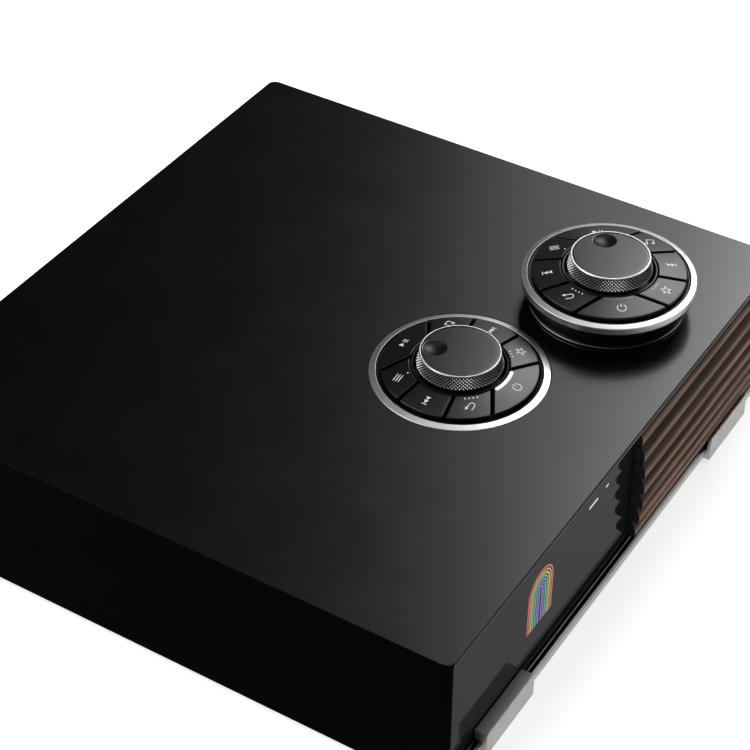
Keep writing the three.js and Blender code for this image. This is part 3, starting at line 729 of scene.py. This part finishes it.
class Key:
    """One key's surface: a sloping sector between two slits, with eased edges."""

    edge = 0.5 * MM
    corner = 0.8 * MM
    insets = [0, 0.03, 0.10, 0.22, 0.38, 0.55, 0.9]  # mm from the sides, closest where the edge is round
    cells_across, cells_deep = 16, 8

    def __init__(self, index):
        self.first = SLITS[index]
        self.second = SLITS[(index + 1) % len(SLITS)]

    def angle(self, along, across, radius):
        """Direction of a column: a near edge inset, a far edge inset, or a share between them."""
        half = KEY_SLIT / 2
        last = self.insets[-1] * MM
        start = crossing_angle(self.first, half + (across if along == 0 else last), radius)
        end = crossing_angle(self.second, -half - (across if along == 1 else last), radius)
        if end < start:
            end += TAU
        return start + (end - start) * along

    def drop(self, distance):
        if distance >= self.edge:
            return 0
        return self.edge - math.sqrt(self.edge ** 2 - (self.edge - distance) ** 2)

    def height(self, radius):
        """Height of the sloping top at a distance from the centre."""
        share = (radius - KEY_INNER) / (KEY_OUTER - KEY_INNER)
        return KEY_INNER_TOP + (KEY_OUTER_TOP - KEY_INNER_TOP) * share

    def build(self, name, to_world):
        insets = [v * MM for v in self.insets]
        across, deep, depth = self.cells_across, self.cells_deep, KEY_OUTER - KEY_INNER
        columns = ([(0, v) for v in insets] + [(k / across, None) for k in range(1, across)]
                   + [(1, v) for v in insets[::-1]])
        rows = insets + [depth * k / deep for k in range(1, deep)] + [depth - v for v in insets[::-1]]
        bm = bmesh.new()
        grid = []
        for share, du in columns:
            line = []
            for row in rows:
                dv = min(row, depth - row)
                side, drop = du, self.drop(dv if du is None else min(dv, du))
                if side is not None and side < self.corner and dv < self.corner:
                    a, b = self.corner - side, self.corner - dv
                    reach = max(a, b) / math.hypot(a, b)
                    side, dv = self.corner - a * reach, self.corner - b * reach
                radius = KEY_INNER + dv if row < depth / 2 else KEY_OUTER - dv
                angle = self.angle(share, side if side is not None else 0, radius)
                line.append(bm.verts.new(polar(radius, angle, self.height(radius) - drop)))
            grid.append(line)
        for i in range(len(grid) - 1):
            for j in range(len(rows) - 1):
                bm.faces.new((grid[i][j], grid[i + 1][j], grid[i + 1][j + 1], grid[i][j + 1]))
        rim = ([line[0] for line in grid] + grid[-1][1:]
               + [line[-1] for line in grid[-2::-1]] + grid[0][-2:0:-1])
        base = [bm.verts.new((v.co.x, v.co.y, KEY_BOTTOM)) for v in rim]
        band(bm, rim, base)
        bm.faces.new(base)
        bm.transform(to_world)
        return finish_mesh(bm, name, 40)


SYMBOL_RADIUS = 29.0 * MM
SYMBOL_LINE = 0.38  # mm
SHARPEST_MITRE = 0.35  # cosine that limits how far a line's corner is drawn out


def stroke(points, width, closed=False):
    """A line of even width along points, as quads of a flat ribbon."""
    pts = [Vector(p) for p in points]
    count = len(pts)
    sides = []
    for i in range(count):
        before = pts[i - 1] if closed or i else pts[i]
        after = pts[(i + 1) % count] if closed or i < count - 1 else pts[i]
        a = (pts[i] - before).normalized() if (pts[i] - before).length else (after - pts[i]).normalized()
        b = (after - pts[i]).normalized() if (after - pts[i]).length else a
        along = (a + b).normalized()
        normal = Vector((-along.y, along.x))
        stretch = 1 / max(SHARPEST_MITRE, normal.dot(Vector((-a.y, a.x))))
        sides.append((pts[i] + normal * width / 2 * stretch, pts[i] - normal * width / 2 * stretch))
    quads = []
    for i in range(count if closed else count - 1):
        (l0, r0), (l1, r1) = sides[i], sides[(i + 1) % count]
        quads.append([l0, r0, r1, l1])
    return quads


def arc(radius, start, end, steps, centre=(0, 0)):
    angles = [math.radians(start + (end - start) * k / steps) for k in range(steps + 1)]
    return [(centre[0] + radius * math.cos(a), centre[1] + radius * math.sin(a)) for a in angles]


def icon_shapes(name):
    """A key's symbol as flat polygons in millimetres, upright and centred on the origin."""
    w = SYMBOL_LINE
    if name == "power":
        return stroke(arc(2.0, 125, 415, 32), w) + stroke([(0, 0.6), (0, 2.5)], w)
    if name == "back":
        hook = [(-1.6, 1.25), (1.2, 1.25)] + arc(1.25, 90, -90, 14, (1.2, 0)) + [(-1.4, -1.25)]
        return stroke(hook, w) + [[Vector((-2.7, 1.25)), Vector((-1.1, 0.45)), Vector((-1.1, 2.05))]]
    if name in ("previous", "next"):
        s = -1 if name == "previous" else 1
        shapes = [[Vector((s * x, 1.05)), Vector((s * (x + 1.9), 0)), Vector((s * x, -1.05))]
                  for x in (-2.4, -0.4)]
        return shapes + stroke([(s * 1.95, 1.15), (s * 1.95, -1.15)], w)
    if name == "menu":
        return [q for y in (-1.25, 0, 1.25) for q in stroke([(-2.2, y), (2.2, y)], w)]
    if name == "play":
        triangle = [Vector((-2.6, 1.25)), Vector((-0.5, 0)), Vector((-2.6, -1.25))]
        return [triangle] + stroke([(0.9, 1.25), (0.9, -1.25)], w) + stroke([(2.1, 1.25), (2.1, -1.25)], w)
    if name == "source":
        stems = stroke([(-1.2, -1.5), (-1.2, 1.9), (2.1, 1.9), (2.1, -1.1)], w)
        heads = [stroke(arc(0.65, 0, 330, 12, at), w, True) for at in ((-1.85, -1.5), (1.45, -1.1))]
        return stems + heads[0] + heads[1]
    tips = []
    for k in range(10):
        r = 2.4 if k % 2 == 0 else 1.0
        a = math.radians(90 + 36 * k)
        tips.append((r * math.cos(a), r * math.sin(a)))
    return stroke(tips, w * 0.9, True)


PRINT_THICKNESS = 0.06 * MM


def raised_print(name, shapes, height_at, to_world):
    """Thin solid print: each flat polygon (in metres) lies on the surface given by height_at."""
    bm = bmesh.new()
    for shape in shapes:
        top = [bm.verts.new((x, y, height_at(x, y) + PRINT_THICKNESS)) for x, y in shape]
        base = [bm.verts.new((x, y, height_at(x, y) - PRINT_THICKNESS)) for x, y in shape]
        if sum((top[i - 1].co.x * v.co.y - v.co.x * top[i - 1].co.y) for i, v in enumerate(top)) < 0:
            top.reverse()
            base.reverse()
        bm.faces.new(top)
        bm.faces.new(base[::-1])
        for i in range(len(top)):
            bm.faces.new((base[i - 1], base[i], top[i], top[i - 1]))
    bm.transform(to_world)
    return mesh_object(bm, name)


def key_prints(key, name, index):
    """The symbol and the preset dots of a key, in the controller's own plane."""
    a = math.radians(SYMBOL_ANGLES[index])
    row_middle = math.radians(DOT_ANGLES[index])
    centre = Vector((math.cos(a), math.sin(a))) * SYMBOL_RADIUS
    shapes = [[centre + p * MM for p in shape] for shape in icon_shapes(name)]
    dots = DOT_COUNTS.get(name, 0)
    pitch, dot_r, dot_row = 1.85 * MM, 0.38 * MM, 24.1 * MM
    for k in range(dots):
        d = row_middle + (k - (dots - 1) / 2) * pitch / dot_row
        dot = Vector((math.cos(d), math.sin(d))) * dot_row
        shapes.append([dot + Vector(p) * dot_r for p in arc(1, 0, 330, 11)])
    return shapes


def well_outline(rim, floor):
    """The upper side of a controller's floor from its rim inwards, with its corner radii."""
    liner_inner, liner_top, collar_inner, collar_top = LINER_R - 0.7 * MM, 0.3 * MM, COLLAR_R - MM, 4.3 * MM
    soft = 0.22 * MM
    points = [(rim, floor), (LINER_R, floor), (LINER_R, liner_top), (liner_inner, liner_top),
              (liner_inner, floor), (COLLAR_R, floor), (COLLAR_R, collar_top), (collar_inner, collar_top),
              (collar_inner, floor), (WELL_HOLE_R, floor)]
    return points, [soft if z > floor else 0 for _, z in points]


def make_light_guide(name, key, to_world):
    """A slim arc along a key's inner edge, with round ends, standing just proud of its slope."""
    half_span, width, middle_r = math.radians(18.5), 1.65 * MM, KEY_INNER + 1.2 * MM
    proud, deep, ease, thinnest = 0.06 * MM, 0.5 * MM, 0.1 * MM, 0.02 * MM
    reach = half_span * middle_r
    steps = 40
    outer, inner = [], []
    for k in range(steps + 1):
        along = -reach * math.cos(math.pi * k / steps)
        end = min(reach - abs(along), width / 2)
        half = max(thinnest, math.sqrt(max(0, (width / 2) ** 2 - (width / 2 - end) ** 2)))
        a = -math.pi / 2 + along / middle_r
        outer.append((middle_r + half, a))
        inner.append((middle_r - half, a))
    outer_top = [(r - (ease if r > middle_r + 1.5 * ease else 0), a) for r, a in outer]
    inner_top = [(r + (ease if r < middle_r - 1.5 * ease else 0), a) for r, a in inner]
    bm = bmesh.new()
    loops = ((outer, -deep), (outer, 0), (outer_top, proud), (inner_top, proud), (inner, 0), (inner, -deep))
    rows = [[bm.verts.new(polar(r, a, key.height(r) + lift)) for r, a in loop] for loop, lift in loops]
    for row, following in zip(rows, rows[1:] + rows[:1]):
        for k in range(steps):
            bm.faces.new((row[k], row[k + 1], following[k + 1], following[k]))
    bm.faces.new([row[0] for row in rows])
    bm.faces.new([row[-1] for row in rows][::-1])
    bm.transform(to_world)
    return finish_mesh(bm, name, 50)


def make_controller(prefix, parent, centre, turn, outer, dimple_angle, arc_material):
    to_world = Matrix.Translation(centre) @ Matrix.Rotation(turn, 4, "Z")
    floor = -3.2 * MM
    ring = lathe(f"{prefix}_trim_ring", rounded(
        [(RING_INNER, floor), (outer, floor), (outer, 0), (RING_INNER, RING_CROWN)],
        [0, 0.1 * MM, 0.35 * MM, 0.15 * MM]), centre, 192)
    place(ring, parent, RING, [f"{prefix}_ring"])

    for index, name in enumerate(KEY_NAMES):
        key = Key(index)
        body = f"{prefix}_{name}"
        cap = key.build(f"{prefix}_key_cap_{name}", to_world)
        place(cap, body, KEY, [f"{prefix}_key_{name}"])
        marks = raised_print(f"{prefix}_key_mark_{name}", key_prints(key, name, index),
                             lambda x, y, key=key: key.height(math.hypot(x, y)), to_world)
        place(marks, body, PRINT_GLOW)
        if name == "power":
            place(make_light_guide(f"{prefix}_light_guide", key, to_world), body, arc_material)

    make_knob(prefix, centre, dimple_angle)


KNOB_BASE_R = 19.6 * MM
KNOB_RIM_R = 18.4 * MM
KNOB_BASE = 4.9 * MM
KNOB_TOP = 11.4 * MM
KNURL_COUNT = 72  # points round the knob
KNURL_ROWS = 7
KNURL_DEPTH = 0.72 * MM


def make_knurl(name, centre):
    """The knurled skirt: a cone of small four-sided points between two plain bands."""
    low, high = KNOB_BASE + 0.3 * MM, KNOB_TOP - 0.75 * MM
    top_r = KNOB_RIM_R - 0.3 * MM
    columns = KNURL_COUNT * 2
    bm = bmesh.new()
    valley_shade = bm.verts.layers.float.new("valley_shade")

    def circle(height, radius, shade, depth=0.0):
        """A ring of points. shade(i) is 1 where a point is in a hollow, which gets painted shade, and depth
        is how deep those are.
        """
        ring = []
        for i in range(columns):
            ring.append(bm.verts.new(centre + polar(radius - depth * shade(i), TAU * i / columns, height)))
            ring[-1][valley_shade] = shade(i)
        return ring

    def cone(height):
        return KNOB_BASE_R + (top_r - KNOB_BASE_R) * (height - KNOB_BASE) / (KNOB_TOP - KNOB_BASE)

    heights = [low + (high - low) * j / KNURL_ROWS for j in range(KNURL_ROWS + 1)]
    grid = [circle(z, cone(z), lambda i, j=j: (i + j) % 2, KNURL_DEPTH) for j, z in enumerate(heights)]
    for j in range(KNURL_ROWS):
        for i in range(columns):
            k = (i + 1) % columns
            a, b, c, d = grid[j][i], grid[j][k], grid[j + 1][k], grid[j + 1][i]
            for corners in ((a, b, c), (a, c, d)) if (i + j) % 2 else ((a, b, d), (b, c, d)):
                bm.faces.new(corners)

    def sleeve(last, profile):
        """Plain bands that go on from a ring of points, darkened all over by painted shade."""
        for height, radius in profile:
            ring = circle(height, radius, lambda i: 1)
            band(bm, ring, last)
            last = ring
        return last

    inner, neck = 16.4 * MM, 17.7 * MM
    foot = sleeve(grid[0], [
        (low - 0.15 * MM, cone(low) - 0.1 * MM), (KNOB_BASE + 0.1 * MM, KNOB_BASE_R),
        (KNOB_BASE, KNOB_BASE_R - 0.15 * MM), (KNOB_BASE, inner + 0.8 * MM), (KNOB_BASE + 2.5 * MM, inner)])
    head = sleeve(grid[-1], [
        (high + 0.12 * MM, cone(high) - 0.12 * MM), (KNOB_TOP - 0.4 * MM, cone(high) - 0.12 * MM),
        (KNOB_TOP - 0.4 * MM, neck), (9.0 * MM, neck)])
    band(bm, foot, head)
    return finish_mesh(bm, name, 10)


def make_cap(name, centre, dimple_angle):
    """The knob's face: a satin disc with a round finger dimple, as nested circles."""
    radius, face_z, crown, edge = 17.5 * MM, KNOB_TOP - 0.1 * MM, 0.28 * MM, 0.12 * MM
    dimple_r, depth, offset, lip = 5.5 * MM, 1.4 * MM, 11.4 * MM, 0.25 * MM
    hollow = polar(1, math.radians(dimple_angle)) * offset
    ball = (dimple_r ** 2 + depth ** 2) / (2 * depth)
    bowl_steps, lip_steps, face_steps, segments = 15, 4, 12, 96
    bowl_r = [dimple_r * k / bowl_steps for k in range(1, bowl_steps)]
    circles = [(hollow, r, ball - math.sqrt(ball ** 2 - r ** 2) - depth) for r in bowl_r]
    for k in range(lip_steps + 1):
        t = k / lip_steps
        circles.append((hollow, dimple_r - lip + 2 * lip * t, -edge * (1 - t) ** 2))
    start, reach = dimple_r + lip, radius - edge
    for k in range(1, face_steps + 1):
        t = k / face_steps
        circles.append((hollow * (1 - t), start + (reach - start) * t, 0))
    circles += [(Vector(), radius, -edge), (Vector(), radius, -1.6 * MM)]
    bm = bmesh.new()

    def on_face(flat, lift):
        """A point of the crowned face, lifted by a height."""
        height = face_z - crown * (flat.length / radius) ** 2 + lift
        return bm.verts.new(centre + Vector((flat.x, flat.y, height)))

    tip = on_face(hollow, -depth)
    last = None
    angles = [TAU * i / segments for i in range(segments)]
    for at, r, z in circles:
        ring = [on_face(at + polar(r, a), z) for a in angles]
        for i in range(segments):
            j = (i + 1) % segments
            bm.faces.new((last[i], ring[i], ring[j], last[j]) if last else (tip, ring[i], ring[j]))
        last = ring
    bm.faces.new(last)
    return finish_mesh(bm, name, 50)


def make_knob(prefix, centre, dimple_angle):
    body = f"{prefix}_knob"
    skirt = make_knurl(f"{prefix}_knurled_skirt", centre)
    place(skirt, body, KNURL, [f"{prefix}_knob_skirt"])
    inner = 17.6 * MM
    rim = lathe(f"{prefix}_knob_rim", rounded(
        [(inner, 10.2 * MM), (KNOB_RIM_R - 0.25 * MM, 10.75 * MM), (KNOB_RIM_R, 10.95 * MM),
         (KNOB_RIM_R - 0.3 * MM, KNOB_TOP), (inner, KNOB_TOP)],
        [0, 0.1 * MM, 0.1 * MM, 0.18 * MM, 0.05 * MM], 5), centre, 192)
    place(rim, body, RING)
    cap = make_cap(f"{prefix}_knob_face", centre, dimple_angle)
    place(cap, body, [KNOB_FACE, DIMPLE_SHADED], [f"{prefix}_knob_cap"])
    # the dimple's faces get the darker copy: painted shade in the hollow
    for polygon in cap.data.polygons:
        in_dimple = polygon.center.z - centre.z < KNOB_TOP - 0.5 * MM and polygon.normal.z > 0.5
        polygon.material_index = 1 if in_dimple else 0


make_controller("dial", "console", DIAL_CENTRE, 0.0, DIAL_R, 110.6, LIGHT)
make_controller("remote", "remote", PUCK_CENTRE, PUCK_TURN, PUCK_R, 41.3, UNLIT)

# ---- dial well and remote body ----


def make_dial_well():
    low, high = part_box("dial_tray")
    bottom, rim = low.z - DIAL_CENTRE.z, (high.x - low.x) / 2
    points, radii = well_outline(rim, -3.5 * MM)
    profile = rounded([(WELL_HOLE_R, bottom), (rim, bottom)] + points, [0, 0] + radii)
    well = lathe("dial_well", profile, DIAL_CENTRE, 160)
    place(well, "console", WELL, ["dial_tray"])


def make_shell():
    """The remote's bowl: a curve from its base to its ring outside, and the keys' floor inside."""
    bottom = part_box("remote_shell")[0].z - PUCK_CENTRE.z
    floor, floor_sheet, wall = -3.8 * MM, 1.6 * MM, 2.2 * MM
    base_r, wide = 36.1 * MM, PUCK_R - 0.3 * MM
    start, bend, end = (base_r, bottom), (PUCK_R - 1.2 * MM, bottom + 5 * MM), (wide, floor)
    steps = 14
    curve = []
    for k in range(steps):
        t = k / steps
        curve.append(tuple((1 - t) ** 2 * start[i] + 2 * t * (1 - t) * bend[i] + t * t * end[i]
                           for i in (0, 1)))
    points, radii = well_outline(wide, floor)
    inside = [(WELL_HOLE_R, floor - floor_sheet), (wide - wall, floor - floor_sheet), (base_r - wall, bottom)]
    profile = rounded(curve + points + inside, [0.1 * MM] + [0] * (steps - 1) + radii + [0, 0, 0])
    shell = lathe("remote_bowl", profile, PUCK_CENTRE, 192)
    place(shell, "remote", SHELL, ["remote_shell"])


def make_remote_foot():
    """The rubber foot under the remote and the thin metal rim above it."""
    low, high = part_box("remote_bottom")
    foot_z, top_z = low.z - PUCK_CENTRE.z, high.z - PUCK_CENTRE.z
    line_z, line_r, line_inner = top_z - 0.45 * MM, (high.x - low.x) / 2, 30 * MM
    foot = lathe("remote_foot_pad", rounded(
        [(0, foot_z), (34 * MM, foot_z), (34.3 * MM, line_z), (0, line_z)],
        [0, 0.15 * MM, 0, 0]), PUCK_CENTRE)
    place(foot, "remote", RUBBER, ["remote_bottom"])
    line = lathe("remote_base_rim", rounded(
        [(line_inner, line_z), (line_r, line_z), (line_r, top_z), (line_inner, top_z)],
        [0, 0.12 * MM, 0.12 * MM, 0]), PUCK_CENTRE, 192)
    place(line, "remote", RING)


make_dial_well()
make_shell()
make_remote_foot()
make_display()

# ---- rear ----


def facing_back(x, y, z):
    """A place on the rear whose local Z points backwards and whose local X and Y are across and up."""
    return Matrix.Translation((x, y, z)) @ Matrix(((-1, 0, 0, 0), (0, 0, 1, 0), (0, 1, 0, 0), (0, 0, 0, 1)))


def make_rear_screws():
    low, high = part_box("rear_panel")
    for x in (low.x + 7 * MM, -25 * MM, 55 * MM, high.x - 7 * MM):
        for z in (low.z + 6 * MM, high.z - 7 * MM):
            screw(f"rear_screw_{round(x / MM)}_{round(z / MM)}", facing_back(x, high.y, z))


def make_inlet_pins():
    low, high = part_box("mains_inlet")
    x, z = (low.x + high.x) / 2, (low.z + high.z) / 2
    tip, root = -3 * MM, -16.2 * MM
    for name, dx, dz in (("left", -5 * MM, -1.5 * MM), ("middle", 0, 2.5 * MM), ("right", 5 * MM, -1.5 * MM)):
        pin = prism(f"inlet_pin_{name}", oblong(1.8 * MM, 5 * MM, 0.4 * MM), root, tip,
                    facing_back(x + dx, high.y, z + dz), 0.3 * MM)
        place(pin, "console", SHIELD)


def make_digital_sockets():
    """A metal sleeve in each digital socket, and the contact tongue of those that have one."""
    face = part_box("digital_ports")[1].y - 6.5 * MM
    clearance, wall, depth, proud = 0.1 * MM, 0.35 * MM, 10.5 * MM, 0.25 * MM
    tongues = {"hdmi": (11.0 * MM, 1.4 * MM), "usb": (11.0 * MM, 1.8 * MM)}
    for name in ("hdmi", "usb", "network", "optical"):
        low, high = OPENINGS[name + "_socket"]
        x, z = (low[0] + high[0]) / 2, (low[2] + high[2]) / 2
        width, height = (high[i] - low[i] + 2 * OPENING_MARGIN - clearance for i in (0, 2))
        at = facing_back(x, face, z)
        shield = prism(f"shield_{name}", oblong(width, height, 0.4 * MM), -depth, proud, at, 0.08 * MM)
        core = oblong(width - 2 * wall, height - 2 * wall, 0.3 * MM)
        subtract(shield, prism("core", core, -depth - MM, 2 * MM, at))
        place(shield, "console", SHIELD)
        if name in tongues:
            blade = prism(f"tongue_{name}", oblong(*tongues[name], 0.3 * MM), -11.2 * MM, -2.5 * MM,
                          facing_back(x, face, z + 0.4 * MM), 0.15 * MM)
            place(blade, "console", SOCKET)


def make_line_sockets():
    """A black plate with six holes, and a coloured ring in each."""
    low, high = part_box("line_sockets")
    x, y, z = (low.x + high.x) / 2, high.y - 8 * MM, (low.z + high.z) / 2
    pitch, hole_r, edge = 17 * MM, 6.8 * MM, 0.4 * MM
    inner, outer, height = 4.25 * MM, 6.6 * MM, 1.4 * MM
    profile = rounded([(inner, 0), (outer, 0), (outer, height), (inner, height)], [0, 0, 0.4 * MM, 0.3 * MM])
    places = [(column, row, facing_back(x + column * pitch, y, z + row * pitch))
              for column in (-1, 0, 1) for row in (-0.5, 0.5)]
    plate = prism("line_plate", oblong(high.x - low.x - edge, high.z - low.z - edge, 1.5 * MM),
                  -0.1 * MM, 0.3 * MM, facing_back(x, y, z), 0.1 * MM)
    subtract(plate, *[prism("hole", arc(hole_r, 0, 350, 35), -MM, MM, at) for _, _, at in places])
    place(plate, "console", SOCKET)
    for column, row, at in places:
        ring = lathe(f"line_ring_{column + 2}_{'upper' if row > 0 else 'lower'}", profile, Vector(), 48)
        ring.data.transform(at)
        place(ring, "console", INSERT_RED if row < 0 else INSERT_WHITE)


def make_terminal_nuts():
    """Four fluted screw caps, each with a bore from its base."""
    flutes, flute_depth, steps = 18, 0.35 * MM, 6
    for i in range(1, 5):
        node = f"terminal_cap_{i}"
        low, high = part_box(node)
        radius, length = (high.x - low.x) / 2, high.y - low.y
        outline = []
        for k in range(flutes * steps):
            r = radius - flute_depth * (0.5 - 0.5 * math.cos(TAU * k / steps))
            a = TAU * k / (flutes * steps)
            outline.append((r * math.cos(a), r * math.sin(a)))
        at = facing_back((low.x + high.x) / 2, low.y, (low.z + high.z) / 2)
        nut = prism(f"terminal_nut_{i}_grip", outline, 0, length, at, 0.5 * MM)
        subtract(nut, prism("bore", arc(2.9 * MM, 0, 350, 35), -MM, length - 1.5 * MM, at))
        material, slot = (NUT_BLACK, "cap_black") if i % 2 else (NUT_RED, "cap_red")
        place(nut, f"terminal_nut_{i}", material, [node])


make_rear_screws()
make_inlet_pins()
make_digital_sockets()
make_line_sockets()
make_terminal_nuts()

# ---- finishes of the CAD nodes that stay ----

FINISHES = {
    "rear_panel": PLATE, "grille_back": PLASTIC, "front_frame": PLASTIC,
    "display_glass": GLASS, "display_panel": DISPLAY, "mains_inlet": SOCKET, "digital_ports": SOCKET,
    "speaker_terminals": SOCKET, "line_sockets": PLATED, "main_board": BOARD, "remote_board": BOARD,
    "power_supply": POWER_PARTS, "heat_sink": SINK, "dial_encoder": STEEL, "dial_shaft": STEEL,
    "remote_shaft": STEEL, "dial_push_collar": STEEL, "remote_push_collar": STEEL, "remote_battery": BATTERY,
}


EASED = ("rear_panel", "mains_inlet", "digital_ports", "speaker_terminals", "line_sockets", "grille_back")

for node, material in FINISHES.items():
    NODES[node].data.materials.clear()
    NODES[node].data.materials.append(material)
for node in EASED:
    ease_edges(NODES[node], 0.25 * MM, 40, 2)
